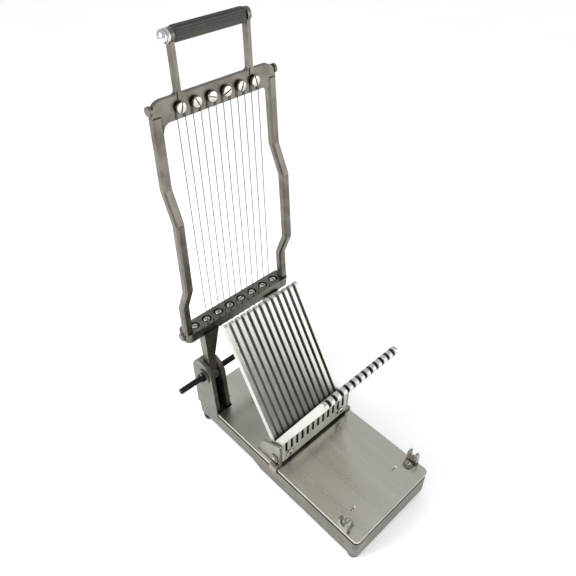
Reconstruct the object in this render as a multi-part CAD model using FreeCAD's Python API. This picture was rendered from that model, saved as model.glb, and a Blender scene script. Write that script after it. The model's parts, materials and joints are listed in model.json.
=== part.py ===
import FreeCAD, Part
import math
import os

# Wire cheese cuber: a cast base, a V cradle of two slotted combs on a sliding carriage, and a wire
# frame hinged on a rod at the back. Millimetres. X across, Y to the back, Z up, table at Z = 0
# until the last step, which moves the origin to the bottom centre of the whole machine's box.

# ---------------------------------------------------------------- driving dimensions
PITCH = 9.525            # wire and finger spacing: three eighths of an inch
WIRE_RUNS = 12
FINGERS = WIRE_RUNS + 1
WIRE_D = 0.9

DECK_W = 138.0
DECK_L = 302.0
DECK_TOP = 46.0
PLATE_T = 4.0
GROOVE_H = 4.0           # open groove under the plate's edge, where the carriage lips run
GROOVE_DEEP = 6.0
RIM_BOTTOM_BACK = 16.0
RIM_BOTTOM_FRONT = 9.0
WALL = 6.0
SCREW_END = 34.5         # lower end of the screws that hold the plate and the lugs

FOOT_H = 9.0
FOOT_R = 8.5
FOOT_X = 59.5
FOOT_Y = 141.5

HINGE_Y = 126.0
HINGE_Z = DECK_TOP + 62.5
ROD_R = 4.0
RUNNING = 0.05           # radial clearance of a running fit
BUSH_R = 6.0
EAR_OUT = 69.0
CHEEK_T = 6.0
LEG_W = 11.0
SIDE_GAP = 0.5           # clearance each side between an arm leg and the cheeks
EAR_R = 20.0

ARM_LEAN = 2.0           # degrees that the raised arm leans back
TOP_BAR = (355.5, 379.0)         # radii from the hinge
TOP_BAR_T = 6.0
BOTTOM_BAR = (73.0, 86.0)
BOTTOM_BAR_FRONT = -4.0
BOTTOM_BAR_BACK = 19.0
FRAME_HALF_TOP = 79.0
FRAME_HALF_BOTTOM = 86.0
RAIL_W = 11.0
RAIL_T = 10.0
RAIL_Y = 3.5             # rail centre behind the wire plane
RAIL_BOW = 14.0          # how far the rails' middle stands forward
BOW_RADII = (128.0, 160.0, 250.0, 286.0)

GRIP_R = 433.0           # radius of the grip's centre line from the hinge
STALK_X = 45.5           # centre of each upright that carries the grip
STALK_T = 4.5
STALK_Y = (-1.0, 7.0)
STALK_ROOT = 4.5         # how far each upright runs down into the top bar

WIRE_Y = -1.4            # wire plane, just in front of the top bar
BEAD_R = 1.5             # bead that stops each wire's end under the bottom bar
TENSION_R = 367.5        # radius of the tension screws from the hinge
ANCHOR_Y = 7.5           # anchor screws' place in the bottom bar
SCREW_SPACING = 2 * PITCH
TENSION_HEAD_R = 5.6
ANCHOR_X = [SCREW_SPACING * (k - 2.5) for k in range(6)]
END_SCREW_X = 3.5 * SCREW_SPACING

FINGER_T = 5.7
CRADLE_HALF = 0.5 * ((FINGERS - 1) * PITCH + FINGER_T)
REAR_FOOT = (-19.0, DECK_TOP + 9.0)      # (Y, Z) of two points on the rear comb's face
REAR_TIP = (82.0, DECK_TOP + 181.0)
REAR_DEEP = 8.5
ROOT_START = 14.0        # distances up the rear comb from its foot: its solid strip
ROOT_END = 33.0
FRONT_TIP = (-75.4, DECK_TOP + 182.4)    # top of the front comb's inner face
FRONT_LEAN = 26.9        # degrees that the front comb leans forward
FRONT_DEEP = 10.0
FOOT_PLATE_Y = -16.0     # upright front face below the front comb
FOOT_PLATE_T = 3.5
CRADLE_BOTTOM = DECK_TOP + 6.5
SLOT_FLOOR = DECK_TOP + 22.0             # where the front comb's slots end
BAR_BACK = 12.0
PIN_Y = -7.0
PIN_Z = DECK_TOP + 11.5
PIN_R = 3.0
FRONT_SCREW_Z = DECK_TOP + 16.8

CHEEK_PLATE_T = 4.0      # side cheeks of the carriage
CHEEK_FRONT = -15.5
CHEEK_BACK = 26.0
CHEEK_TOP = DECK_TOP + 42.0
SHOE_L = 12.0            # length of the hook that runs in the groove

LUG_Y = -127.0
LUG_L = 15.0
LUG_H = 19.0
LUG_X0 = 63.0
LUG_X1 = 69.0

ROD_LEFT = -109.0
ROD_RIGHT = 73.0


# ---------------------------------------------------------------- helpers
def V(x, y, z):
    return FreeCAD.Vector(x, y, z)


def box(x0, x1, y0, y1, z0, z1):
    return Part.makeBox(x1 - x0, y1 - y0, z1 - z0, V(x0, y0, z0))


def cyl(radius, start, direction, length):
    return Part.makeCylinder(radius, length, start, direction)


def cone(r0, r1, start, direction, length):
    return Part.makeCone(r0, r1, length, start, direction)


def fuse(shapes):
    body = shapes[0]
    for other in shapes[1:]:
        body = body.fuse(other)
    return body.removeSplitter()


def group(shapes):
    return Part.makeCompound(shapes)


def both_sides(shape):
    """The shape and its mirror image in the machine's middle plane."""
    return [shape, shape.mirror(V(0, 0, 0), V(1, 0, 0))]


def plate(points, direction):
    """A flat outline of straight edges and arcs, pushed along direction.
    A point is a vector; a pair (through, end) is an arc to end."""
    edges = []
    start = points[0]
    here = start
    for item in points[1:] + [start]:
        if isinstance(item, tuple):
            edges.append(Part.Arc(here, item[0], item[1]).toShape())
            here = item[1]
        elif (item - here).Length > 1e-6:
            edges.append(Part.LineSegment(here, item).toShape())
            here = item
    return Part.Face(Part.Wire(edges)).extrude(direction)


def fillet(shape, radius, wanted):
    """Rounds the edges that wanted(edge) picks."""
    edges = [e for e in shape.Edges if wanted(e)]
    return shape.makeFillet(radius, edges) if edges else shape


def along(edge, axis):
    """True for a straight edge that runs along the axis."""
    if len(edge.Vertexes) != 2 or edge.Curve.TypeId != "Part::GeomLine":
        return False
    run = edge.Vertexes[1].Point - edge.Vertexes[0].Point
    return abs(abs(run.dot(axis)) - run.Length) < 1e-4


def raise_arm(shape):
    """From the arm's own upright drawing, with the hinge at the origin, to its place."""
    out = shape.copy()
    out.rotate(V(0, 0, 0), V(1, 0, 0), -ARM_LEAN)
    out.translate(V(0, HINGE_Y, HINGE_Z))
    return out


def round_bar(x0, x1, y0, y1, z0, z1, corner):
    """A block whose four upright corners are rounded."""
    return fillet(box(x0, x1, y0, y1, z0, z1), corner, lambda e: along(e, V(0, 0, 1)))


# ---------------------------------------------------------------- base
def rim_outline(inset, drop):
    """Side view of the casting's skirt: shallow at the back, deeper to the front."""
    half = DECK_L / 2 - inset
    top = DECK_TOP - PLATE_T - GROOVE_H
    return [
        V(0, -half, RIM_BOTTOM_FRONT + drop),
        V(0, 18.0, RIM_BOTTOM_FRONT + drop),
        V(0, 34.0, RIM_BOTTOM_BACK + drop),
        V(0, half, RIM_BOTTOM_BACK + drop),
        V(0, half, top),
        V(0, -half, top),
    ]


def ear_outline(x):
    """Side view of a hinge ear: a round top over the rod, flaring down to the deck."""
    centre_y = 131.0
    centre_z = HINGE_Z + 2.0
    return [
        V(x, 106.0, DECK_TOP - PLATE_T - GROOVE_H - 2.0),
        V(x, centre_y - EAR_R, centre_z),
        (V(x, centre_y, centre_z + EAR_R), V(x, centre_y + EAR_R, centre_z)),
        V(x, DECK_L / 2, DECK_TOP - PLATE_T - GROOVE_H - 2.0),
    ]


def make_base():
    top = DECK_TOP - PLATE_T - GROOVE_H
    skirt = plate(rim_outline(0, 0), V(DECK_W, 0, 0))
    skirt.translate(V(-DECK_W / 2, 0, 0))
    skirt = fillet(skirt, 7.0, lambda e: along(e, V(0, 0, 1)))
    ledge = round_bar(
        -DECK_W / 2 + GROOVE_DEEP,
        DECK_W / 2 - GROOVE_DEEP,
        -DECK_L / 2 + GROOVE_DEEP,
        DECK_L / 2 - GROOVE_DEEP,
        top - 1.0,
        DECK_TOP - PLATE_T,
        4.0,
    )
    hollow = box(
        -DECK_W / 2 + WALL, DECK_W / 2 - WALL, -DECK_L / 2 + WALL, DECK_L / 2 - WALL, 0, top - 4.0
    )
    body = skirt.fuse(ledge).cut(hollow)
    for sx in (-1, 1):
        for sy in (-1, 1):
            leg = cone(7.5, 9.5, V(sx * FOOT_X, sy * FOOT_Y, FOOT_H - 2.0), V(0, 0, 1), top - 6.0 - FOOT_H)
            body = body.fuse(leg)
    for y in (-80.0, 0.0, 80.0):
        body = body.fuse(box(-DECK_W / 2 + 3, DECK_W / 2 - 3, y - 2.0, y + 2.0, 18.0, top - 2.0))
    inner = EAR_OUT - 2 * CHEEK_T - LEG_W - 2 * SIDE_GAP
    for cheek_x in (EAR_OUT - CHEEK_T, inner):
        cheek = plate(ear_outline(cheek_x), V(CHEEK_T, 0, 0))
        for one in both_sides(cheek):
            body = body.fuse(one)
    between = plate(ear_outline(inner + 1), V(EAR_OUT - inner - 2, 0, 0))
    stop = box(inner, EAR_OUT, HINGE_Y + 8.0, DECK_L, HINGE_Z + 12.5, HINGE_Z + 17.0).common(between)
    web = box(inner, EAR_OUT, HINGE_Y + 14.0, DECK_L, 0, HINGE_Z + 17.0).common(between)
    boss = cyl(10.5, V(EAR_OUT - 1, HINGE_Y, HINGE_Z), V(1, 0, 0), 3.0)
    for one in both_sides(stop) + both_sides(web) + both_sides(boss):
        body = body.fuse(one)
    for x0, length in ((EAR_OUT - CHEEK_T - 1, CHEEK_T + 5), (inner - 1, CHEEK_T + 2)):
        for one in both_sides(cyl(BUSH_R, V(x0, HINGE_Y, HINGE_Z), V(1, 0, 0), length)):
            body = body.cut(one)
    for sx in (-1, 1):
        for sy in (-1, 1):
            hole = cyl(1.9, V(sx * FOOT_X, sy * FOOT_Y, 0), V(0, 0, 1), 26.0)
            body = body.cut(hole)
    for x, y in deck_screw_places() + lug_screw_places():
        body = body.cut(cyl(1.9, V(x, y, 20.0), V(0, 0, 1), 24.0))
    return body.removeSplitter()


def deck_screw_places():
    return [(sx * 40.0, sy * 118.0) for sx in (-1, 1) for sy in (-1, 1)]


def lug_screw_places():
    return [(sx * (LUG_X0 - 6.0), LUG_Y) for sx in (-1, 1)]


def make_deck_plate():
    slab = round_bar(
        -DECK_W / 2, DECK_W / 2, -DECK_L / 2, DECK_L / 2, DECK_TOP - PLATE_T, DECK_TOP, 6.0
    )
    clear_y = 104.0
    clear_x = EAR_OUT - 2 * CHEEK_T - LEG_W - 2 * SIDE_GAP - 1.0
    for one in both_sides(box(clear_x, DECK_W, clear_y, DECK_L, 0, 2 * DECK_TOP)):
        slab = slab.cut(one)
    for x, y in deck_screw_places():
        slab = slab.cut(cyl(2.2, V(x, y, 0), V(0, 0, 1), 2 * DECK_TOP))
        slab = slab.cut(cone(2.2, 4.2, V(x, y, DECK_TOP - 2.0), V(0, 0, 1), 2.0))
    for x, y in lug_screw_places():
        slab = slab.cut(cyl(2.2, V(x, y, 0), V(0, 0, 1), 2 * DECK_TOP))
    return slab


def make_foot():
    pad = cone(FOOT_R - 1.2, FOOT_R, V(0, 0, 0), V(0, 0, 1), FOOT_H - 2.0)
    pad = pad.cut(cyl(4.2, V(0, 0, 0), V(0, 0, 1), 3.5))
    return pad.cut(cyl(1.9, V(0, 0, 0), V(0, 0, 1), FOOT_H))


def make_foot_screw():
    head = cyl(3.6, V(0, 0, 1.6), V(0, 0, 1), 1.9)
    shank = cyl(1.9, V(0, 0, 3.5), V(0, 0, 1), 18.0)
    slot = box(-4, 4, -0.5, 0.5, 1.0, 2.4)
    return head.fuse(shank).cut(slot)


def make_deck_screw(x, y):
    head = cone(2.2, 4.1, V(x, y, DECK_TOP - 2.0), V(0, 0, 1), 1.9)
    shank = cyl(1.9, V(x, y, SCREW_END), V(0, 0, 1), DECK_TOP - 2.0 - SCREW_END)
    slot = box(x - 5, x + 5, y - 0.5, y + 0.5, DECK_TOP - 1.0, DECK_TOP + 1.0)
    return head.fuse(shank).cut(slot)


def make_lug(side):
    """A stop lug: a notched post on the plate's edge with a foot that its screw holds."""
    post = plate(
        [
            V(LUG_X0, LUG_Y - LUG_L / 2, DECK_TOP),
            V(LUG_X0, LUG_Y + LUG_L / 2, DECK_TOP),
            V(LUG_X0, LUG_Y + LUG_L / 2, DECK_TOP + LUG_H - 3.0),
            (V(LUG_X0, LUG_Y + LUG_L / 2 - 0.9, DECK_TOP + LUG_H - 0.9),
             V(LUG_X0, LUG_Y + LUG_L / 2 - 3.0, DECK_TOP + LUG_H)),
            V(LUG_X0, LUG_Y + 3.4, DECK_TOP + LUG_H),
            V(LUG_X0, LUG_Y + 3.4, DECK_TOP + LUG_H - 6.0),
            (V(LUG_X0, LUG_Y, DECK_TOP + LUG_H - 9.4), V(LUG_X0, LUG_Y - 3.4, DECK_TOP + LUG_H - 6.0)),
            V(LUG_X0, LUG_Y - 3.4, DECK_TOP + LUG_H),
            V(LUG_X0, LUG_Y - LUG_L / 2 + 3.0, DECK_TOP + LUG_H),
            (V(LUG_X0, LUG_Y - LUG_L / 2 + 0.9, DECK_TOP + LUG_H - 0.9),
             V(LUG_X0, LUG_Y - LUG_L / 2, DECK_TOP + LUG_H - 3.0)),
        ],
        V(LUG_X1 - LUG_X0, 0, 0),
    )
    foot = round_bar(
        LUG_X0 - 11.0, LUG_X0 + 1.0, LUG_Y - 5.5, LUG_Y + 5.5, DECK_TOP, DECK_TOP + 2.2, 4.0
    )
    lug = post.fuse(foot).cut(cyl(2.1, V(LUG_X0 - 6.0, LUG_Y, 0), V(0, 0, 1), 2 * DECK_TOP))
    return lug if side > 0 else lug.mirror(V(0, 0, 0), V(1, 0, 0))


def make_lug_screw(x, y):
    base = DECK_TOP + 2.2
    head = cyl(3.6, V(x, y, base), V(0, 0, 1), 2.0)
    shank = cyl(1.9, V(x, y, SCREW_END), V(0, 0, 1), base - SCREW_END)
    slot = box(x - 5, x + 5, y - 0.5, y + 0.5, base + 1.1, base + 3.0)
    return head.fuse(shank).cut(slot)


def make_bush(x0, length):
    ring = cyl(BUSH_R, V(x0, HINGE_Y, HINGE_Z), V(1, 0, 0), length)
    return ring.cut(cyl(ROD_R + RUNNING, V(x0 - 1, HINGE_Y, HINGE_Z), V(1, 0, 0), length + 2))


def ear_bushes():
    inner = EAR_OUT - 2 * CHEEK_T - LEG_W - 2 * SIDE_GAP
    outer = make_bush(EAR_OUT - CHEEK_T, CHEEK_T + 2.0)
    return both_sides(outer) + both_sides(make_bush(inner, CHEEK_T))


# ---------------------------------------------------------------- hinge rod
def make_rod():
    length = ROD_RIGHT - ROD_LEFT
    rod = cyl(ROD_R, V(ROD_LEFT, HINGE_Y, HINGE_Z), V(1, 0, 0), length)
    ends = [e for e in rod.Edges if e.Curve.TypeId == "Part::GeomCircle"]
    return rod.makeChamfer(1.0, ends)


def make_rod_collar():
    x0 = -EAR_OUT - 2.4 - 6.0
    ring = cyl(6.2, V(x0, HINGE_Y, HINGE_Z), V(1, 0, 0), 6.0)
    ring = ring.cut(cyl(ROD_R, V(x0 - 1, HINGE_Y, HINGE_Z), V(1, 0, 0), 8.0))
    return ring.cut(cyl(1.5, V(x0 + 3.0, HINGE_Y, HINGE_Z), V(0, 0, 1), 10.0))


def make_rod_set_screw():
    x0 = -EAR_OUT - 2.4 - 3.0
    return cyl(1.5, V(x0, HINGE_Y, HINGE_Z + ROD_R), V(0, 0, 1), 2.0)


# ---------------------------------------------------------------- arm, drawn upright about the hinge
def rail_half(radius):
    """Outer half width of the frame at a radius from the hinge."""
    share = (radius - BOTTOM_BAR[0]) / (TOP_BAR[1] - BOTTOM_BAR[0])
    return FRAME_HALF_BOTTOM + (FRAME_HALF_TOP - FRAME_HALF_BOTTOM) * share


def rail_section(radius, y):
    x1 = rail_half(radius)
    x0 = x1 - RAIL_W
    half = RAIL_T / 2
    c = 2.0
    pts = [
        V(x0 + c, y - half, radius),
        V(x1 - c, y - half, radius),
        V(x1, y - half + c, radius),
        V(x1, y + half - c, radius),
        V(x1 - c, y + half, radius),
        V(x0 + c, y + half, radius),
        V(x0, y + half - c, radius),
        V(x0, y - half + c, radius),
    ]
    return Part.makePolygon(pts + [pts[0]])


def make_rail():
    """One cranked rail: straight, stepped forward over its middle, straight again."""
    low, step_up, step_back, high = BOW_RADII
    stations = [
        (BOTTOM_BAR[0] + 1.0, RAIL_Y),
        (low, RAIL_Y),
        (step_up, RAIL_Y - RAIL_BOW),
        (step_back, RAIL_Y - RAIL_BOW),
        (high, RAIL_Y),
        (TOP_BAR[0] + 8.0, RAIL_Y),
    ]
    return Part.makeLoft([rail_section(r, y) for r, y in stations], True, True)


def make_arm_leg():
    """Pivot leg: narrow between the cheeks, wider where it meets the bottom bar."""
    x0 = EAR_OUT - CHEEK_T - SIDE_GAP - LEG_W
    x1 = x0 + LEG_W

    def section(radius, left, right, depth):
        pts = [
            V(left, -depth / 2, radius),
            V(right, -depth / 2, radius),
            V(right, depth / 2, radius),
            V(left, depth / 2, radius),
        ]
        return Part.makePolygon(pts + [pts[0]])

    lower = Part.makeLoft([section(0, x0, x1, 13.0), section(32.0, x0, x1, 12.0)], True, True)
    upper = Part.makeLoft(
        [section(32.0, x0, x1, 12.0), section(BOTTOM_BAR[0] + 3.0, x0 - 11.0, x1 + 1.0, 14.0)], True, True
    )
    eye = cyl(10.5, V(x0, 0, 0), V(1, 0, 0), LEG_W)
    leg = lower.fuse(upper).fuse(eye)
    return leg.cut(cyl(BUSH_R, V(x0 - 1, 0, 0), V(1, 0, 0), LEG_W + 2))


def make_arm_frame():
    low, high = TOP_BAR
    top_bar = box(-FRAME_HALF_TOP, FRAME_HALF_TOP, 0, TOP_BAR_T, low, high)
    top_bar = fillet(top_bar, 13.0, lambda e: along(e, V(0, 1, 0)) and e.Vertexes[0].Z > low + 1)
    bottom_bar = round_bar(
        -FRAME_HALF_BOTTOM,
        FRAME_HALF_BOTTOM,
        BOTTOM_BAR_FRONT,
        BOTTOM_BAR_BACK,
        BOTTOM_BAR[0],
        BOTTOM_BAR[1],
        8.0,
    )
    body = top_bar.fuse(bottom_bar)
    corner_pad = cyl(5.0, V(FRAME_HALF_TOP - 1.0, RAIL_Y, TOP_BAR[1] - 8.0), V(1, 0, 0), 3.2)
    end_pad = cyl(5.5, V(FRAME_HALF_BOTTOM - 1.0, ANCHOR_Y, sum(BOTTOM_BAR) / 2), V(1, 0, 0), 3.5)
    for piece in (make_rail(), make_arm_leg(), make_stalk(), corner_pad, end_pad):
        for one in both_sides(piece):
            body = body.fuse(one)
    for sx in (-1, 1):
        x = sx * (rail_half(low) - RAIL_W)
        knee = box(min(x, x - sx * 9.0), max(x, x - sx * 9.0), 0, TOP_BAR_T, low - 9.0, low)
        knee = knee.cut(cyl(9.0, V(x - sx * 9.0, -1, low - 9.0), V(0, 1, 0), TOP_BAR_T + 2))
        body = body.fuse(knee)
    for x in ANCHOR_X:
        body = body.cut(cyl(2.2, V(x, -1, TENSION_R), V(0, 1, 0), TOP_BAR_T + 2))
        body = body.cut(cyl(6.4, V(x, ANCHOR_Y, BOTTOM_BAR[1] - 5.0), V(0, 0, 1), 10.0))
        body = body.cut(cyl(2.2, V(x, ANCHOR_Y, 0), V(0, 0, 1), BOTTOM_BAR[1]))
    for x in (-END_SCREW_X, END_SCREW_X):
        body = body.cut(cyl(6.4, V(x, ANCHOR_Y, BOTTOM_BAR[1] - 5.0), V(0, 0, 1), 10.0))
        body = body.cut(cyl(2.2, V(x, ANCHOR_Y, 0), V(0, 0, 1), BOTTOM_BAR[1]))
    for x in wire_places():
        body = body.cut(cyl(0.9, V(x, WIRE_Y, BOTTOM_BAR[0] - 2), V(0, 0, 1), 20.0))
        body = body.cut(cyl(BEAD_R + 0.3, V(x, WIRE_Y, BOTTOM_BAR[0] - 5.0), V(0, 0, 1), 5.0))
    return body.removeSplitter()


def wire_places():
    return [PITCH * (i - (WIRE_RUNS - 1) / 2) for i in range(WIRE_RUNS)]


def make_wire(x):
    """A hairpin of wire: up one side of a tension screw, round it and down the other side."""
    reach = PITCH / 2
    foot = BOTTOM_BAR[0] - 1.5
    path = Part.Wire(
        [
            Part.LineSegment(V(x - reach, WIRE_Y, foot), V(x - reach, WIRE_Y, TENSION_R)).toShape(),
            Part.Arc(
                V(x - reach, WIRE_Y, TENSION_R), V(x, WIRE_Y, TENSION_R + reach), V(x + reach, WIRE_Y, TENSION_R)
            ).toShape(),
            Part.LineSegment(V(x + reach, WIRE_Y, TENSION_R), V(x + reach, WIRE_Y, foot)).toShape(),
        ]
    )
    ring = Part.Wire([Part.Circle(V(x - reach, WIRE_Y, foot), V(0, 0, 1), WIRE_D / 2).toShape()])
    strand = path.makePipeShell([ring], True, False)
    beads = [
        Part.makeSphere(BEAD_R, V(x + side * reach, WIRE_Y, foot - 0.6)) for side in (-1, 1)
    ]
    return fuse([strand] + beads)


def make_tension_screw(x):
    """Slotted round-head screw whose grooved neck carries the wire's loop."""
    neck_r = PITCH / 2 - WIRE_D / 2 - 0.05
    head = cyl(TENSION_HEAD_R, V(x, -5.6, TENSION_R), V(0, 1, 0), 3.4)
    rims = [e for e in head.Edges if e.Curve.TypeId == "Part::GeomCircle" and e.Vertexes[0].Y < -5]
    head = head.makeFillet(1.3, rims)
    neck = cyl(neck_r, V(x, -2.4, TENSION_R), V(0, 1, 0), 2.4)
    shank = cyl(2.15, V(x, -0.5, TENSION_R), V(0, 1, 0), 11.5)
    slot = box(x - 8, x + 8, -6.5, -4.3, TENSION_R - 0.7, TENSION_R + 0.7)
    slot.rotate(V(x, 0, TENSION_R), V(0, 1, 0), 40.0 * x)
    return head.fuse(neck).fuse(shank).cut(slot)


def make_tension_nut(x):
    profile = []
    for k in range(6):
        a = math.radians(60 * k + 30)
        profile.append(V(x + 4.6 * math.cos(a), TOP_BAR_T + 0.8, TENSION_R + 4.6 * math.sin(a)))
    nut = Part.Face(Part.makePolygon(profile + [profile[0]])).extrude(V(0, 3.4, 0))
    return nut.cut(cyl(2.2, V(x, 0, TENSION_R), V(0, 1, 0), 20.0))


def make_tension_washer(x):
    ring = cyl(5.4, V(x, TOP_BAR_T, TENSION_R), V(0, 1, 0), 0.8)
    return ring.cut(cyl(2.3, V(x, TOP_BAR_T - 1, TENSION_R), V(0, 1, 0), 3.0))


def make_anchor_screw(x):
    top = BOTTOM_BAR[1] - 0.4
    head = cyl(4.4, V(x, ANCHOR_Y, top - 4.4), V(0, 0, 1), 4.4)
    rims = [e for e in head.Edges if e.Curve.TypeId == "Part::GeomCircle" and e.Vertexes[0].Z > top - 1]
    head = head.makeFillet(0.9, rims)
    shank = cyl(2.15, V(x, ANCHOR_Y, BOTTOM_BAR[0] - 2.0), V(0, 0, 1), top - 4.4 - BOTTOM_BAR[0] + 2.0)
    slot = box(x - 6, x + 6, ANCHOR_Y - 0.6, ANCHOR_Y + 0.6, top - 1.5, top + 2)
    slot.rotate(V(x, ANCHOR_Y, 0), V(0, 0, 1), 25.0 + 17.0 * x)
    return head.fuse(shank).cut(slot)


def arm_bushes():
    x0 = EAR_OUT - CHEEK_T - SIDE_GAP - LEG_W
    ring = cyl(BUSH_R, V(x0, 0, 0), V(1, 0, 0), LEG_W)
    ring = ring.cut(cyl(ROD_R + RUNNING, V(x0 - 1, 0, 0), V(1, 0, 0), LEG_W + 2))
    return both_sides(ring)


def make_stalk():
    """Upright of the handle, cast with the top bar, ending in an eye for the grip bolt."""
    x0 = STALK_X - STALK_T / 2
    x1 = STALK_X + STALK_T / 2
    y = sum(STALK_Y) / 2
    upright = box(x0, x1, STALK_Y[0], STALK_Y[1], TOP_BAR[1] - STALK_ROOT, GRIP_R)
    eye = cyl(6.7, V(x0, y, GRIP_R), V(1, 0, 0), STALK_T)
    stalk = upright.fuse(eye)
    for edge_x, outward in ((x0, -1), (x1, 1)):
        near = edge_x + outward * 5.0
        knee = box(min(edge_x, near), max(edge_x, near), 0, TOP_BAR_T, TOP_BAR[1] - 1.0, TOP_BAR[1] + 5.0)
        stalk = stalk.fuse(knee.cut(cyl(5.0, V(near, -1, TOP_BAR[1] + 5.0), V(0, 1, 0), TOP_BAR_T + 2)))
    return stalk.cut(cyl(2.6, V(x0 - 1, y, GRIP_R), V(1, 0, 0), STALK_T + 2))


def make_grip():
    y = sum(STALK_Y) / 2
    half = STALK_X - STALK_T / 2 - 0.2
    bar = box(-half, half, y - 6.0, y + 6.0, GRIP_R - 7.5, GRIP_R + 7.5)
    bar = fillet(bar, 4.5, lambda e: along(e, V(1, 0, 0)))
    return bar.cut(cyl(2.6, V(-half - 1, y, GRIP_R), V(1, 0, 0), 2 * half + 2))


def make_grip_bolt():
    y = sum(STALK_Y) / 2
    end = STALK_X + STALK_T / 2
    return cyl(2.55, V(-end, y, GRIP_R), V(1, 0, 0), 2 * end)


def make_grip_cap():
    """Domed cap that closes the handle's left end."""
    y = sum(STALK_Y) / 2
    x0 = -STALK_X - STALK_T / 2
    skirt = cyl(6.8, V(x0 - 6.0, y, GRIP_R), V(1, 0, 0), 6.0)
    dome = Part.makeSphere(8.2, V(x0 - 1.4, y, GRIP_R)).common(
        cyl(6.8, V(x0 - 12.0, y, GRIP_R), V(1, 0, 0), 6.0)
    )
    return skirt.fuse(dome).removeSplitter()


# ---------------------------------------------------------------- cradle
def rear_at(up, out, x=0.0):
    """A point up the rear comb's face from its foot, and out of its back."""
    run = V(0, REAR_TIP[0] - REAR_FOOT[0], REAR_TIP[1] - REAR_FOOT[1]).normalize()
    point = V(x, REAR_FOOT[0], REAR_FOOT[1]) + run * up
    return point + V(0, run.z, -run.y) * out


def rear_length():
    return math.hypot(REAR_TIP[0] - REAR_FOOT[0], REAR_TIP[1] - REAR_FOOT[1])


def rear_face_y(z):
    """Y of the rear comb's face at a height."""
    return REAR_FOOT[0] + (z - REAR_FOOT[1]) * (REAR_TIP[0] - REAR_FOOT[0]) / (REAR_TIP[1] - REAR_FOOT[1])


def front_at(down, out, x=0.0):
    """A point down the front comb's inner face from its tip, and out of its front."""
    lean = math.radians(FRONT_LEAN)
    run = V(0, math.sin(lean), -math.cos(lean))
    point = V(x, FRONT_TIP[0], FRONT_TIP[1]) + run * down
    return point + V(0, run.z, -run.y) * out


def finger_places():
    """Left face of each finger."""
    return [PITCH * (k - (FINGERS - 1) / 2) - FINGER_T / 2 for k in range(FINGERS)]


def make_rear_comb():
    """Fingers with round tips on a solid root strip."""
    radius = REAR_DEEP / 2
    length = rear_length()
    root = plate(
        [rear_at(a, b, -CRADLE_HALF) for a, b in
         ((ROOT_START, 0), (ROOT_END, 0), (ROOT_END, REAR_DEEP), (ROOT_START, REAR_DEEP))],
        V(2 * CRADLE_HALF, 0, 0),
    )
    fingers = [
        plate(
            [
                rear_at(ROOT_END - 1.0, 0, x),
                rear_at(length - radius, 0, x),
                (rear_at(length, radius, x), rear_at(length - radius, REAR_DEEP, x)),
                rear_at(ROOT_END - 1.0, REAR_DEEP, x),
            ],
            V(FINGER_T, 0, 0),
        )
        for x in finger_places()
    ]
    comb = fuse([root] + fingers)
    for point, inward in rear_screws():
        comb = comb.cut(cyl(1.95, point - inward, inward, REAR_DEEP + 2.0))
        comb = comb.cut(cone(4.2, 1.95, point, inward, 2.3))
    return comb


def v_corner():
    """Where the front comb's inner face meets the rear comb's face: (Y, Z)."""
    lean = math.tan(math.radians(FRONT_LEAN))
    slope = (REAR_TIP[0] - REAR_FOOT[0]) / (REAR_TIP[1] - REAR_FOOT[1])
    z = (FRONT_TIP[0] + lean * FRONT_TIP[1] - REAR_FOOT[0] + slope * REAR_FOOT[1]) / (slope + lean)
    return rear_face_y(z), z


def make_front_comb():
    """Fingers that lean forward from an upright foot plate, which closes the front of the cradle."""
    radius = FRONT_DEEP / 2
    outer = front_at(0, FRONT_DEEP)
    outer_root = outer.z - (FOOT_PLATE_Y - outer.y) / math.tan(math.radians(FRONT_LEAN))
    corner_y, corner_z = v_corner()
    back = FOOT_PLATE_Y + FOOT_PLATE_T
    back_z = REAR_FOOT[1] + (back - REAR_FOOT[0]) * (REAR_TIP[1] - REAR_FOOT[1]) / (REAR_TIP[0] - REAR_FOOT[0])
    root = plate(
        [
            V(-CRADLE_HALF, FOOT_PLATE_Y, CRADLE_BOTTOM),
            V(-CRADLE_HALF, FOOT_PLATE_Y, SLOT_FLOOR),
            V(-CRADLE_HALF, rear_face_y(SLOT_FLOOR), SLOT_FLOOR),
            V(-CRADLE_HALF, back, back_z),
            V(-CRADLE_HALF, back, CRADLE_BOTTOM),
        ],
        V(2 * CRADLE_HALF, 0, 0),
    )
    fingers = [
        plate(
            [
                V(x, FOOT_PLATE_Y, SLOT_FLOOR - 1.0),
                V(x, FOOT_PLATE_Y, outer_root),
                front_at(radius, FRONT_DEEP, x),
                (front_at(0, radius, x), front_at(radius, 0, x)),
                V(x, corner_y, corner_z),
                V(x, rear_face_y(SLOT_FLOOR - 1.0), SLOT_FLOOR - 1.0),
            ],
            V(FINGER_T, 0, 0),
        )
        for x in finger_places()
    ]
    comb = fuse([root] + fingers)
    for point, inward in rear_screws():
        comb = comb.cut(cyl(1.9, point, inward, 15.0))
    for x in front_screw_places():
        comb = comb.cut(cyl(1.9, V(x, FOOT_PLATE_Y - 1.0, FRONT_SCREW_Z), V(0, 1, 0), 8.0))
    return comb


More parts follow.
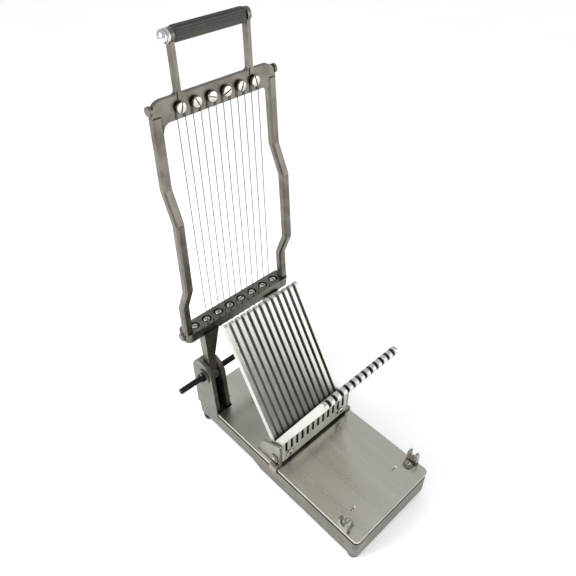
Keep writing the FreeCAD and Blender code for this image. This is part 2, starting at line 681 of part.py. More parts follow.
def make_corner_bar():
    """Solid bar behind the foot plate and under the rear comb, bored for the pivot pin."""
    front = FOOT_PLATE_Y + FOOT_PLATE_T
    front_z = REAR_FOOT[1] + (front - REAR_FOOT[0]) * (REAR_TIP[1] - REAR_FOOT[1]) / (REAR_TIP[0] - REAR_FOOT[0])
    bar = plate(
        [
            V(-CRADLE_HALF, front, CRADLE_BOTTOM),
            V(-CRADLE_HALF, front, front_z),
            rear_at(ROOT_START, 0, -CRADLE_HALF),
            rear_at(ROOT_START, REAR_DEEP, -CRADLE_HALF),
            V(-CRADLE_HALF, BAR_BACK - 4.0, CRADLE_BOTTOM + 5.0),
            V(-CRADLE_HALF, BAR_BACK, CRADLE_BOTTOM),
        ],
        V(2 * CRADLE_HALF, 0, 0),
    )
    bar = bar.cut(cyl(PIN_R + RUNNING, V(-80, PIN_Y, PIN_Z), V(1, 0, 0), 160.0))
    for x in front_screw_places():
        bar = bar.cut(cyl(1.9, V(x, FOOT_PLATE_Y, FRONT_SCREW_Z), V(0, 1, 0), 7.0))
    return bar


def rear_screws():
    """Outer face point and inward direction of each screw behind the rear comb."""
    outer = rear_at(21.0, REAR_DEEP)
    inward = (rear_at(21.0, 0) - outer).normalize()
    return [(V(k * 4 * PITCH, outer.y, outer.z), inward) for k in (-1, 0, 1)]


def front_screw_places():
    return [-5 * PITCH, 5 * PITCH]


def make_rear_screw(point, inward):
    """Countersunk screw that joins the rear comb to the front comb's foot."""
    head = cone(4.0, 1.9, point + inward * 0.1, inward, 2.1)
    shank = cyl(1.85, point + inward * 2.1, inward, 12.0)
    socket = cyl(1.6, point - inward * 0.5, inward, 2.0)
    return head.fuse(shank).cut(socket)


def make_front_screw(x):
    """Button-head screw that holds the foot plate to the corner bar."""
    head = cyl(5.5, V(x, FOOT_PLATE_Y - 2.4, FRONT_SCREW_Z), V(0, 1, 0), 2.4)
    rims = [e for e in head.Edges if e.Curve.TypeId == "Part::GeomCircle" and e.Vertexes[0].Y < FOOT_PLATE_Y - 2]
    head = head.makeFillet(1.1, rims)
    shank = cyl(1.85, V(x, FOOT_PLATE_Y, FRONT_SCREW_Z), V(0, 1, 0), 6.5)
    socket = cyl(1.8, V(x, FOOT_PLATE_Y - 3.0, FRONT_SCREW_Z), V(0, 1, 0), 2.0)
    return head.fuse(shank).cut(socket)


def make_shoe():
    """Side cheek of the carriage, on a short hook that runs in the groove under the deck's edge."""
    inner = CRADLE_HALF + 0.4
    floor = DECK_TOP + 0.3
    cheek = plate(
        [
            V(inner, CHEEK_FRONT, floor),
            V(inner, CHEEK_FRONT, CHEEK_TOP - 3.0),
            (V(inner, CHEEK_FRONT + 1.0, CHEEK_TOP - 0.9), V(inner, CHEEK_FRONT + 3.2, CHEEK_TOP - 1.6)),
            V(inner, CHEEK_BACK - 12.0, DECK_TOP + 26.5),
            (V(inner, CHEEK_BACK - 9.6, DECK_TOP + 24.0), V(inner, CHEEK_BACK - 8.4, DECK_TOP + 21.0)),
            V(inner, CHEEK_BACK - 0.6, DECK_TOP + 5.0),
            V(inner, CHEEK_BACK, floor),
        ],
        V(CHEEK_PLATE_T, 0, 0),
    )
    outer = DECK_W / 2 + 2.4
    y0, y1 = CHEEK_FRONT, CHEEK_FRONT + SHOE_L
    under = DECK_TOP - PLATE_T - GROOVE_H + 0.4
    foot = box(inner, outer, y0, y1, floor, DECK_TOP + 3.5)
    skirt = box(DECK_W / 2 + 0.4, outer, y0, y1, under, DECK_TOP + 3.5)
    hook = box(DECK_W / 2 - GROOVE_DEEP + 0.5, outer, y0, y1, under, DECK_TOP - PLATE_T - 0.4)
    boss = cyl(PIN_R + 3.0, V(inner, PIN_Y, PIN_Z), V(1, 0, 0), CHEEK_PLATE_T + 1.6)
    shoe = fuse([cheek, foot, skirt, hook, boss])
    return shoe.cut(cyl(PIN_R, V(0, PIN_Y, PIN_Z), V(1, 0, 0), DECK_W))


def make_cradle_pin():
    reach = CRADLE_HALF + 0.4 + CHEEK_PLATE_T + 2.4
    return cyl(PIN_R, V(-reach, PIN_Y, PIN_Z), V(1, 0, 0), 2 * reach)


# ---------------------------------------------------------------- the machine
def all_nodes():
    foot_places = [V(sx * FOOT_X, sy * FOOT_Y, 0) for sx in (-1, 1) for sy in (-1, 1)]

    def at_feet(shape):
        return group([shape.translated(p) for p in foot_places])

    def on_arm(shapes):
        return group([raise_arm(s) for s in shapes])

    nodes = {
        "base_casting": make_base(),
        "deck_plate": make_deck_plate(),
        "rubber_feet": at_feet(make_foot()),
        "foot_screws": at_feet(make_foot_screw()),
        "deck_screws": group([make_deck_screw(x, y) for x, y in deck_screw_places()]),
        "stop_lug_left": make_lug(-1),
        "stop_lug_right": make_lug(1),
        "lug_screws": group([make_lug_screw(x, y) for x, y in lug_screw_places()]),
        "ear_bushes": group(ear_bushes()),
        "hinge_rod": make_rod(),
        "rod_collar": make_rod_collar(),
        "rod_set_screw": make_rod_set_screw(),
        "arm_frame": raise_arm(make_arm_frame()),
        "arm_bushes": on_arm(arm_bushes()),
        "handle_grip": raise_arm(make_grip()),
        "handle_bolt": raise_arm(make_grip_bolt()),
        "handle_cap": raise_arm(make_grip_cap()),
        "cutting_wires": on_arm([make_wire(x) for x in ANCHOR_X]),
        "tension_nuts": on_arm([make_tension_nut(x) for x in ANCHOR_X]),
        "tension_washers": on_arm([make_tension_washer(x) for x in ANCHOR_X]),
        "wire_anchor_screws": on_arm([make_anchor_screw(x) for x in ANCHOR_X]),
        "bar_end_screws": on_arm([make_anchor_screw(x) for x in (-END_SCREW_X, END_SCREW_X)]),
        "rear_comb": make_rear_comb(),
        "front_comb": make_front_comb(),
        "corner_bar": make_corner_bar(),
        "rear_comb_screws": group([make_rear_screw(*axis) for axis in rear_screws()]),
        "foot_plate_screws": group([make_front_screw(x) for x in front_screw_places()]),
        "carriage_shoe_left": make_shoe().mirror(V(0, 0, 0), V(1, 0, 0)),
        "carriage_shoe_right": make_shoe(),
        "cradle_pin": make_cradle_pin(),
    }
    for number, x in enumerate(ANCHOR_X, 1):
        nodes[f"tension_screw_{number}"] = raise_arm(make_tension_screw(x))
    return nodes


def main():
    os.makedirs("parts", exist_ok=True)
    nodes = all_nodes()
    whole = FreeCAD.BoundBox()
    for shape in nodes.values():
        whole.add(shape.BoundBox)
    shift = V(-whole.Center.x, -whole.Center.y, -whole.ZMin)
    for name, shape in nodes.items():
        placed = shape.translated(shift)
        placed.exportStep(f"parts/{name}.step")
    hinge = V(0, HINGE_Y, HINGE_Z) + shift
    pin = V(0, PIN_Y, PIN_Z) + shift
    print("nodes", len(nodes), "box", [round(v, 2) for v in (whole.XLength, whole.YLength, whole.ZLength)])
    print("shift", [round(v, 3) for v in shift], "hinge", [round(v, 3) for v in hinge])
    print("pin", [round(v, 3) for v in pin])
    for name, shape in nodes.items():
        if not shape.isValid():
            print("NOT VALID", name)


main()
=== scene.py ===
# %% [markdown]
# # Wire cheese cuber
# A counter-top machine: a V cradle of slotted aluminium fingers on a cast base, and a frame of
# steel wires hinged on a black rod at the back. The CAD gives exact places; this script adds the
# finishes and the small shapes that the eye looks for.
#
# The CAD model could be rebuilt by hand in Blender, but then its joints would no longer fit. So it is
# loaded as it is, and only pieces that need finer shape are made again.

# %% Load the frame
import json
import math

import bmesh
import bpy
from mathutils import Matrix, Vector


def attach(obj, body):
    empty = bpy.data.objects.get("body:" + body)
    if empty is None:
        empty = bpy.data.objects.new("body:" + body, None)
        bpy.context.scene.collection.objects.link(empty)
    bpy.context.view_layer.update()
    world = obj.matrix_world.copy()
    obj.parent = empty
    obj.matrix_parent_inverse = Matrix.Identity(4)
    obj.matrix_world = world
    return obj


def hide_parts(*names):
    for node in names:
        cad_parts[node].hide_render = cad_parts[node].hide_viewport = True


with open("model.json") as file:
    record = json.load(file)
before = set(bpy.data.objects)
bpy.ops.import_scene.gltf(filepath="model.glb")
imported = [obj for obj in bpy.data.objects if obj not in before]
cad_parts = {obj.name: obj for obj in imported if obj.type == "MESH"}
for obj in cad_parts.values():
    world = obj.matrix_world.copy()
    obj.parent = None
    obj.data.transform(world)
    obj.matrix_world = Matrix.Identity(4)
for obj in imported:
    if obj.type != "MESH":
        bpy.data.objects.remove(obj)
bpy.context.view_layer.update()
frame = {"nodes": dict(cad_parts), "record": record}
MM = 0.001

# %% [markdown]
# ## Driving dimensions
# Every piece below is placed from these few numbers, which are in millimetres as on a drawing. The
# arm has its own upright drawing with the hinge at zero; one matrix carries it to its place. Placing
# each screw in the leaning frame directly would need the same sums again and again.

# %% Driving dimensions
MIDDLE_X = 10.25
PITCH = 9.525  # three eighths of an inch between wires
HINGE = Vector((MIDDLE_X, 126.0, 108.5)) * MM
ARM_LEAN = math.radians(2.0)
TENSION_R = 367.5
WIRE_Y = -1.4
BOTTOM_BAR_UNDER = 73.0
GRIP_R = 433.0
GRIP_Y = 3.0
STALK_INNER = 43.25
STALK_T = 4.5
ARM = Matrix.Translation(HINGE) @ Matrix.Rotation(-ARM_LEAN, 4, "X")
SCREW_X = [PITCH * (2 * k - 5) for k in range(6)]
print("arm matrix", [round(v, 4) for v in ARM.translation])


# %% [markdown]
# ## Colours
# Colours are written as sRGB hex, the way a picker shows them. Blender shades in linear light, so
# one function converts them.

# %% Colours
def srgb(code):
    """An sRGB hex code as a linear colour with alpha."""
    channels = [int(code[i:i + 2], 16) / 255 for i in (1, 3, 5)]
    linear = [c / 12.92 if c <= 0.04045 else ((c + 0.055) / 1.055) ** 2.4 for c in channels]
    return (*linear, 1.0)


print("mid grey", [round(c, 3) for c in srgb("#808080")])


# %% [markdown]
# ## Shader nodes
# A finish is a small tree of nodes. This one function adds a node, sets its sockets and links
# others into it, so each finish below reads as a short list.

# %% Shader nodes
def add(tree, kind, settings=None, links=None, **fields):
    """Adds a node; settings are socket values, links are sockets to feed, fields are properties."""
    node = tree.nodes.new("ShaderNode" + kind)
    for name, value in fields.items():
        setattr(node, name, value)
    for name, value in (settings or {}).items():
        node.inputs[name].default_value = value
    for name, source in (links or {}).items():
        tree.links.new(source, node.inputs[name])
    return node


def ramp(tree, factor, stops):
    """A colour ramp from a factor: stops are (position, colour)."""
    node = add(tree, "ValToRGB", links={"Fac": factor})
    band = node.color_ramp
    while len(band.elements) < len(stops):
        band.elements.new(1.0)
    for element, (position, colour) in zip(band.elements, stops):
        element.position = position
        element.color = colour
    return node.outputs["Color"]


print("node helpers ready")


# %% [markdown]
# ## How a finish is made
# All the surfaces here share one recipe: two close tones in soft patches, a fine grain that bends the
# light, and roughness that wanders a little. Corners get painted shade that partly stands for dirt,
# and ambient occlusion finds those corners from the shape itself. An image could hold this too, but a
# recipe works at any size.

# %% How a finish is made
def finish(name, dark, light, roughness, metallic=1.0, patch=18.0, grain=0.6, depth=0.03,
           stretch=(1, 1, 1), grime_and_shade="#4a4842", reach=4.0):
    """A procedural finish: patches of two tones, a fine grain in the bump, and uneven roughness.
    patch and grain are sizes in mm; depth is the grain's height in mm; stretch below 1 on an axis
    draws the pattern out along it. Within reach mm of another face, a corner darkens with painted shade,
    partly standing for grime."""
    material = bpy.data.materials.new(name)
    material.use_nodes = True
    tree = material.node_tree
    tree.nodes.clear()
    place = add(tree, "TexCoord").outputs["Object"]
    drawn = add(tree, "Mapping", {"Scale": stretch}, {"Vector": place}).outputs["Vector"]
    clouds = add(tree, "TexNoise", {"Scale": 1000 / patch, "Detail": 4.0}, {"Vector": drawn})
    fine = add(tree, "TexNoise", {"Scale": 1000 / grain, "Detail": 3.0}, {"Vector": drawn})
    colour = ramp(tree, clouds.outputs["Fac"], [(0.35, srgb(dark)), (0.65, srgb(light))])
    # Painted shade, partly standing for dirt: ambient occlusion darkens corners and recesses toward the
    # corner colour.
    nearby = add(tree, "AmbientOcclusion", {"Distance": reach * MM}, samples=6)
    dirt_and_shade = ramp(tree, nearby.outputs["AO"], [(0.35, srgb(grime_and_shade)), (0.85, (1, 1, 1, 1))])
    aged_and_shaded = add(tree, "MixRGB", {"Fac": 1.0}, {"Color1": colour, "Color2": dirt_and_shade}, blend_type="MULTIPLY")
    spread = add(
        tree, "MapRange",
        {"From Min": 0.3, "From Max": 0.7, "To Min": roughness - 0.06, "To Max": roughness + 0.08},
        {"Value": clouds.outputs["Fac"]},
    )
    bump = add(tree, "Bump", {"Strength": 0.6, "Distance": depth * MM}, {"Height": fine.outputs["Fac"]})
    shader = add(
        tree, "BsdfPrincipled", {"Metallic": metallic},
        {
            "Base Color": aged_and_shaded.outputs["Color"],
            "Roughness": spread.outputs["Result"],
            "Normal": bump.outputs["Normal"],
        },
    )
    add(tree, "OutputMaterial", links={"Surface": shader.outputs["BSDF"]})
    return material


print("finish helper ready")

# %% [markdown]
# ## Cast and milled aluminium
# Nearly all of the machine is aluminium. Castings come out of sand, are tumbled with stones and stay
# a little rough; the deck plate is milled, which leaves streaks along its length. Real casting grain
# is about a third of a millimetre, too fine to show from here, so it is drawn about three times
# as coarse.

# %% Cast and milled aluminium
# Sand-cast base: soft mottled grey that keeps only broad, blurred reflections.
cast = finish("sand_cast_aluminium", "#6e6b62", "#86837a", 0.42, patch=14, grain=0.9, depth=0.05)
# Tumbled frame: a little darker and warmer, so the wires and screws stand out before it.
frame_cast = finish("tumbled_cast_aluminium", "#635f57", "#7d7970", 0.36, patch=16, grain=0.8, depth=0.04)
# Milled deck: long faint streaks that catch the light down the machine.
deck = finish(
    "milled_aluminium_plate", "#c0bdb2", "#cbc8bd", 0.27,
    patch=30, grain=1.5, depth=0.0006, stretch=(1, 0.012, 1),
)
# Combs: the brightest casting, worn smooth by cleaning; near-black painted shade, partly dirt, in the
# slots.
comb_metal = finish(
    "worn_cast_aluminium", "#c8c6c0", "#d4d2cc", 0.48,
    patch=25, grain=1.0, depth=0.012, grime_and_shade="#15140f", reach=9.0,
)
# Carriage and lugs: satin, halfway between the base and the combs.
carriage_metal = finish("satin_cast_aluminium", "#8f8c83", "#a3a097", 0.38, patch=12, grain=0.9, depth=0.04)
print("five aluminium finishes")

# %% [markdown]
# ## Steel and chrome
# Screws are stainless and polished, so each shows one tight highlight. Wire is drawn through a die:
# it is smooth, but so thin that it reads as a dark line. The cap is chrome plate, close to a mirror.

# %% Steel and chrome
# Stainless screws: warm and bright, almost without grain.
stainless = finish("polished_stainless_steel", "#b9b5ac", "#d2cec4", 0.20, patch=6, grain=0.5, depth=0.006)
# Drawn wire: a dark thin line against the pale table.
wire_steel = finish("drawn_steel_wire", "#4c4a46", "#64625d", 0.34, patch=10, grain=0.5, depth=0.004)
# Chrome: mirrors the lamps, with no grain that shows.
chrome = finish("polished_chrome", "#c9c9c9", "#dadada", 0.07, patch=20, grain=2.0, depth=0.002)
print("three bright finishes")

# %% [markdown]
# ## Bronze, black oxide, nylon and rubber
# The small dark parts give the picture its contrast. Nylon and rubber aren't metals, so they keep
# their own colour under the highlight; black oxide is a thin coat on steel, so it is partly metallic.

# %% Bronze, black oxide, nylon and rubber
# Sintered bronze bushes: a thin warm ring round the rod.
bronze = finish("sintered_bronze", "#7d5f38", "#9c7a4a", 0.45, patch=5, grain=0.5, depth=0.02)
# Black oxide rod: near black, with a soft sheen along its length.
black = finish(
    "black_oxide_steel", "#0b0b0c", "#17171a", 0.32,
    metallic=0.4, patch=9, grain=0.6, depth=0.01,
)
# Moulded nylon grip: dark olive grey, matt, with a slight shine on the ridges.
grip_plastic = finish(
    "moulded_nylon", "#24251e", "#34352b", 0.42,
    metallic=0.0, patch=12, grain=0.7, depth=0.03,
)
# Moulded rubber feet: almost black and dull.
rubber = finish("moulded_rubber", "#101010", "#1b1b1a", 0.75, metallic=0.0, patch=8, grain=0.8, depth=0.03)
FINISH = {
    "cast_aluminium": cast, "frame_aluminium": frame_cast, "deck_aluminium": deck,
    "comb_aluminium": comb_metal, "carriage_aluminium": carriage_metal, "rubber": rubber,
    "stainless": stainless, "wire": wire_steel, "bronze": bronze, "black_rod": black,
    "grip": grip_plastic, "chrome": chrome,
}
print(len(FINISH), "finishes for the record's slots")

# %% [markdown]
# ## Softened CAD pieces
# A real casting has no knife edges. The meshes of the CAD pieces come in with split corners, so a
# Weld joins them first; then a Bevel rounds only the sharp corners, which is what catches the light.
# Modifiers leave the CAD mesh itself alone, so its sizes stay exact underneath.

# %% Softened CAD pieces
# Radius of the softened edges of each larger piece, in mm; the rest share SMALL_EDGE.
SOFT_EDGE = {
    "base_casting": 0.8, "arm_frame": 0.9, "rear_comb": 0.7, "front_comb": 0.7, "corner_bar": 0.5,
    "stop_lug_left": 0.4, "stop_lug_right": 0.4, "carriage_shoe_left": 0.6,
    "carriage_shoe_right": 0.6, "deck_plate": 0.4,
}
SMALL_EDGE = 0.25
WELD_GAP = 0.005
SHARP_ANGLE = 40


def soften(piece, width, clamp=True):
    """Rounds the sharp corners of a mesh by width, in mm. Clamping keeps small screws whole; the
    combs' corners stand well apart, so they are rounded in full."""
    weld = piece.modifiers.new("weld", "WELD")
    weld.merge_threshold = WELD_GAP * MM
    bevel = piece.modifiers.new("bevel", "BEVEL")
    bevel.width = width * MM
    bevel.segments = 3
    bevel.limit_method = "ANGLE"
    bevel.angle_limit = math.radians(SHARP_ANGLE)
    bevel.use_clamp_overlap = clamp
    bevel.harden_normals = True


slot_of = {part["node"]: part["material_slot"] for part in frame["record"]["subparts"]}
for name, node in frame["nodes"].items():
    node.data.materials.clear()
    node.data.materials.append(FINISH[slot_of[name]])
    soften(node, SOFT_EDGE.get(name, SMALL_EDGE), clamp=not name.endswith("comb"))
print("softened", len(frame["nodes"]), "pieces")


# %% [markdown]
# ## Building pieces
# Most of the remaining pieces are turned parts, so one lathe function makes them: it turns a
# profile round an axis into rings of verts, which are then skinned. A Screw modifier would do this
# too, but bmesh keeps the piece one plain mesh. make_piece makes the bmesh an object that rides on
# its CAD body and hides the CAD node it stands for.

# %% Building pieces
def make_piece(name, bm, material, body, stands_for):
    """A smooth-shaded object from bm that rides on a body and stands for a CAD node."""
    bmesh.ops.recalc_face_normals(bm, faces=bm.faces)
    mesh = bpy.data.meshes.new(name)
    bm.to_mesh(mesh)
    bm.free()
    for face in mesh.polygons:
        face.use_smooth = True
    mesh.materials.append(material)
    piece = bpy.data.objects.new(name, mesh)
    bpy.context.scene.collection.objects.link(piece)
    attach(piece, body)
    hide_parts(stands_for)
    return piece


def skin(bm, rings):
    """Closes a row of rings of verts into a solid: faces between rings, and a face on each end."""
    for low, high in zip(rings, rings[1:]):
        for k in range(len(low)):
            j = (k + 1) % len(low)
            bm.faces.new((low[k], low[j], high[j], high[k]))
    bm.faces.new(rings[0][::-1])
    bm.faces.new(rings[-1])


def lathe(bm, profile, axes, steps):
    """Turns (radius, along) pairs in mm round an axis; axes is a matrix whose Z is the axis."""
    rings = []
    for radius, along in profile:
        ring = []
        for k in range(steps):
            angle = 2 * math.pi * k / steps
            local = Vector((radius * math.cos(angle), radius * math.sin(angle), along)) * MM
            ring.append(bm.verts.new(axes @ local))
        rings.append(ring)
    skin(bm, rings)


print("building helpers ready")

# %% [markdown]
# ## Grip
# The handle's grip is a moulded sleeve with lengthwise ridges that stop it turning in a wet hand.
# Its section is a rounded rectangle with a small ripple, swept along X and drawn in at both ends.
# The ridges are real geometry and not bump, because they show against the edge of the grip.

# %% Grip
RIDGES = 18
RIPPLE = 0.42
VERTS_PER_RIDGE = 8
GRIP_HALF_Y = 6.0
GRIP_HALF_Z = 7.5
SQUARENESS = 3.2  # 2 is an ellipse, and larger is nearer to a rectangle
RUNNING_GAP = 0.2
END_ROUND = 2.0
SPANS = 12


def grip_ring(bm, x, scale):
    """One ring of the grip's section at x, with the ripple on a rounded rectangle."""
    ring = []
    count = RIDGES * VERTS_PER_RIDGE
    for k in range(count):
        angle = 2 * math.pi * k / count
        c = math.cos(angle)
        s = math.sin(angle)
        box_form = abs(c / GRIP_HALF_Y) ** SQUARENESS + abs(s / GRIP_HALF_Z) ** SQUARENESS
        ripple = RIPPLE * (0.5 + 0.5 * math.cos(RIDGES * angle))
        radius = (box_form ** (-1 / SQUARENESS) - ripple) * scale
        point = Vector((x, GRIP_Y + radius * c, GRIP_R + radius * s)) * MM
        ring.append(bm.verts.new(ARM @ point))
    return ring


grip_half = STALK_INNER - RUNNING_GAP
straight = 2 * (grip_half - END_ROUND)
stations = [(-grip_half, 0.86), (-grip_half + 0.7, 0.95)]
stations += [(-grip_half + END_ROUND + straight * k / SPANS, 1.0) for k in range(SPANS + 1)]
stations += [(grip_half - 0.7, 0.95), (grip_half, 0.86)]
bm = bmesh.new()
skin(bm, [grip_ring(bm, x, scale) for x, scale in stations])
grip = make_piece("grip_sleeve", bm, grip_plastic, "arm", "handle_grip")
print("grip", len(grip.data.polygons), "faces")

# %% [markdown]
# ## Handle cap
# A turned and polished cap closes the grip's bolt on the left. The groove behind the dome gives it
# a dark ring, as a real turned part has. The profile is read from the foot outwards: skirt, groove,
# then a quarter of an ellipse for the dome.

# %% Handle cap
DOME_R = 6.6
DOME_FOOT = 5.2
DOME_RISE = 4.2
skirt = [(6.6, 0.0), (6.8, 0.3), (6.8, 2.6)]
groove = [(5.9, 3.0), (5.9, 3.6), (6.6, 4.0)]
dome_angles = [math.radians(t) for t in range(0, 90, 9)]
dome = [(DOME_R * math.cos(a), DOME_FOOT + DOME_RISE * math.sin(a)) for a in dome_angles]
crown = [(0.05, DOME_FOOT + DOME_RISE)]
cap_foot = Vector((-STALK_INNER - STALK_T, GRIP_Y, GRIP_R)) * MM
turn_left = Matrix.Rotation(math.radians(-90), 4, "Y")
bm = bmesh.new()
lathe(bm, skirt + groove + dome + crown, ARM @ Matrix.Translation(cap_foot) @ turn_left, 48)
make_piece("dome_cap", bm, chrome, "arm", "handle_cap")
print("cap reaches", DOME_FOOT + DOME_RISE, "mm out from the upright")


# %% [markdown]
# ## Tension screws
# Six slotted screws tune the wires. Each has a domed head with a knurled rim, so a coin or driver
# turns it, and a neck below the head that the wire loops round. Each one turns on its own joint.
# The slot is cut with a boolean, because a lathe can only make what is round.

# %% Tension screws
# Sizes of a tension screw, in mm.
HEAD_R = 5.6
HEAD_H = 3.4
HEAD_FOOT_Y = -2.2
NECK_R = PITCH / 2 - 0.5
SLOT_WIDTH = 1.4
SLOT_DEEP = 1.3
KNURLS = 24
KNURL_DEPTH = 0.035


def knurled_head(bm, axes):
    """A domed head whose rim is pulled in at each knurl."""
    rim = HEAD_H - 0.5
    profile = [(HEAD_R * 0.94, 0.0), (HEAD_R, 0.35), (HEAD_R, HEAD_H - 1.1), (HEAD_R * 0.95, rim)]
    profile += [(HEAD_R * f, rim + 0.5 * (1 - f * f)) for f in (0.86, 0.74, 0.6, 0.45, 0.3, 0.15)]
    lathe(bm, profile, axes, KNURLS * 3)
    back = axes.inverted()
    for vert in bm.verts:
        local = back @ vert.co
        if math.hypot(local.x, local.y) > HEAD_R * 0.97 * MM:
            swing = 0.5 + 0.5 * math.cos(KNURLS * math.atan2(local.y, local.x))
            local.x *= 1 - KNURL_DEPTH * swing
            local.y *= 1 - KNURL_DEPTH * swing
        vert.co = axes @ local


def cut_driver_slot(piece, axes, angle):
    """Cuts a driver slot across a head with a boolean against a thin block."""
    bm = bmesh.new()
    bmesh.ops.create_cube(bm, size=1.0)
    size = Matrix.Diagonal(Vector((HEAD_R * 2.6 * MM, SLOT_WIDTH * MM, SLOT_DEEP * 2 * MM, 1)))
    top = Matrix.Translation(Vector((0, 0, HEAD_H)) * MM)
    bm.transform(axes @ top @ Matrix.Rotation(angle, 4, "Z") @ size)
    mesh = bpy.data.meshes.new("slot_tool")
    bm.to_mesh(mesh)
    bm.free()
    tool = bpy.data.objects.new("slot_tool", mesh)
    bpy.context.scene.collection.objects.link(tool)
    cut = piece.modifiers.new("slot", "BOOLEAN")
    cut.object = tool
    cut.solver = "EXACT"
    graph = bpy.context.evaluated_depsgraph_get()
    result = bpy.data.meshes.new_from_object(piece.evaluated_get(graph))
    piece.modifiers.clear()
    piece.data = result
    bpy.data.objects.remove(tool)


TURN_PER_MM = 40  # degrees between slots for each mm along the bar, so that no two look alike
look_out = Matrix.Rotation(math.radians(90), 4, "X")
shank_profile = [(1.6, -13.2), (2.1, -12.7), (2.1, -2.3), (NECK_R, -2.2), (NECK_R, 0.05)]
for number, x in enumerate(SCREW_X, 1):
    axes = ARM @ Matrix.Translation(Vector((x, HEAD_FOOT_Y, TENSION_R)) * MM) @ look_out
    body = f"screw_{number}"
    node = f"tension_screw_{number}"
    bm = bmesh.new()
    knurled_head(bm, axes)
    screw = make_piece(f"slotted_screw_{number}", bm, stainless, body, node)
    cut_driver_slot(screw, axes, math.radians(TURN_PER_MM * x))
    bm = bmesh.new()
    lathe(bm, shank_profile, axes, 28)
    make_piece(f"screw_shank_{number}", bm, stainless, body, node)
print("six tension screws, heads", 2 * HEAD_R, "mm across")

# %% [markdown]
# ## Wires
# Each wire is one strand: up from under the bottom bar, round the neck of its screw and back down. A
# curve with a round bevel draws it at its true thickness, and stays easy to edit. The two runs are
# straight and the loop is half a circle, because a taut wire takes the shortest way.

# %% Wires
WIRE_R = 0.45
WIRE_END = 1.5
LOOP_STEPS = 12


def wire_points(x):
    """The path of the strand round the screw at x."""
    reach = PITCH / 2
    foot = BOTTOM_BAR_UNDER - WIRE_END
    path = [(x - reach, foot), (x - reach, TENSION_R)]
    for k in range(1, LOOP_STEPS):
        angle = math.pi * (1 - k / LOOP_STEPS)
        path.append((x + reach * math.cos(angle), TENSION_R + reach * math.sin(angle)))
    path += [(x + reach, TENSION_R), (x + reach, foot)]
    return [ARM @ (Vector((across, WIRE_Y, up)) * MM) for across, up in path]


for number, x in enumerate(SCREW_X, 1):
    curve = bpy.data.curves.new(f"wire_{number}", "CURVE")
    curve.dimensions = "3D"
    curve.bevel_depth = WIRE_R * MM
    curve.bevel_resolution = 4
    line = curve.splines.new("POLY")
    points = wire_points(x)
    line.points.add(len(points) - 1)
    for point, place in zip(line.points, points):
        point.co = (*place, 1.0)
    curve.materials.append(wire_steel)
    strand = bpy.data.objects.new(f"wire_{number}", curve)
    bpy.context.scene.collection.objects.link(strand)
    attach(strand, "arm")
    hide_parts("cutting_wires")
print(len(SCREW_X), "strands at pitch", PITCH)

# %% [markdown]
# ## Wire beads
# A small bead crimped on each end stops the wire from pulling through the bottom bar. Each is a ball
# turned on the lathe, and all twelve are one piece, since they move together.

# %% Wire beads
BEAD_R = 1.5
BEAD_DROP = 2.1
half_turn = [math.radians(t) for t in range(0, 181, 18)]
bead = [(BEAD_R * math.sin(a) + 0.01, -BEAD_R * math.cos(a)) for a in half_turn]
bm = bmesh.new()
for x in SCREW_X:
    for side in (-1, 1):
        spot = Vector((x + side * PITCH / 2, WIRE_Y, BOTTOM_BAR_UNDER - BEAD_DROP)) * MM
        lathe(bm, bead, Matrix.Translation(ARM @ spot), 16)
make_piece("wire_beads", bm, stainless, "arm", "cutting_wires")
print("beads", 2 * len(SCREW_X))

# %% [markdown]
# ## Table
# A pale table that runs far past the machine gives a plain background. It glows very slightly, so
# that it stays near white where the machine's shadow falls. It isn't part of the object.

# %% Table
TABLE_HALF = 4.0
TABLE_GLOW = 0.25
corners = [(-1, -1), (1, -1), (1, 1), (-1, 1)]
bm = bmesh.new()
bm.faces.new([bm.verts.new((x * TABLE_HALF, y * TABLE_HALF, 0.0)) for x, y in corners])
mesh = bpy.data.meshes.new("table")
bm.to_mesh(mesh)
bm.free()
table = bpy.data.objects.new("table", mesh)
bpy.context.scene.collection.objects.link(table)
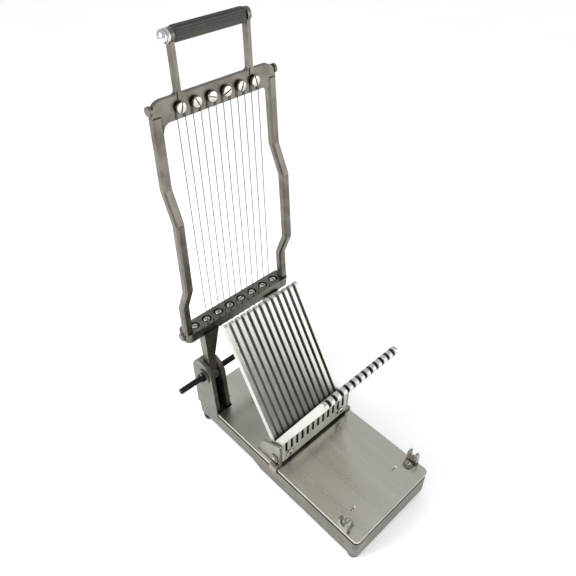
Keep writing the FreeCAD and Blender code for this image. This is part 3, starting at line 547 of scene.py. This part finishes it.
# Matt white card: no highlight, and only a trace of shade where the feet stand.
card = finish(
    "matt_white_card", "#fbfbfb", "#ffffff", 0.85,
    metallic=0.0, patch=400, grain=8, depth=0.0, grime_and_shade="#d8d8d8",
)
for node in card.node_tree.nodes:
    if node.type == "BSDF_PRINCIPLED":
        node.inputs["Emission Color"].default_value = (1, 1, 1, 1)
        node.inputs["Emission Strength"].default_value = TABLE_GLOW
mesh.materials.append(card)
print("table", TABLE_HALF * 2, "m across")

# %% [markdown]
# ## Light
# Bare metal shows what it mirrors, so the lights are large and soft. A plain sky lights the deck. One
# lamp at the back left picks out the left-hand edges, and a wide panel at the front right fills the
# face of the rear comb, which leans back and would otherwise mirror a dark horizon.

# %% Light
SKY_STRENGTH = 0.78
world = bpy.data.worlds.new("studio")
bpy.context.scene.world = world
world.use_nodes = True
sky = world.node_tree.nodes["Background"]
sky.inputs["Color"].default_value = srgb("#f4f6f8")
sky.inputs["Strength"].default_value = SKY_STRENGTH
middle = Vector((MIDDLE_X * MM, 0.0, 0.15))


def soft_light(name, place, size, energy):
    """A square area light at place, in metres, turned to the middle of the machine."""
    lamp = bpy.data.lights.new(name, "AREA")
    lamp.size = size
    lamp.energy = energy
    holder = bpy.data.objects.new(name, lamp)
    holder.location = place
    holder.rotation_euler = (middle - Vector(place)).to_track_quat("-Z", "Y").to_euler()
    bpy.context.scene.collection.objects.link(holder)


soft_light("key", place=(-1.1, 0.45, 0.75), size=0.6, energy=15)
soft_light("front_panel", place=(0.9, -1.35, 0.5), size=1.3, energy=10)
print("sky and two soft lights")

# %% [markdown]
# ## Camera
# The camera looks down from the front left, high enough to see into the V of the cradle. The
# Standard view transform keeps the table white; a filmic one would turn it grey.

# %% Camera
camera_data = bpy.data.cameras.new("camera")
camera_data.lens = 37.155
camera_data.sensor_width = 36
camera = bpy.data.objects.new("camera", camera_data)
camera.location = (-0.3409, -0.3303, 0.7196)
camera.rotation_euler = (math.radians(49.07), 0, math.radians(-43.76))
bpy.context.scene.collection.objects.link(camera)
bpy.context.scene.camera = camera
bpy.context.scene.view_settings.view_transform = "Standard"
print("camera", round(camera.location.length, 3), "m from the origin")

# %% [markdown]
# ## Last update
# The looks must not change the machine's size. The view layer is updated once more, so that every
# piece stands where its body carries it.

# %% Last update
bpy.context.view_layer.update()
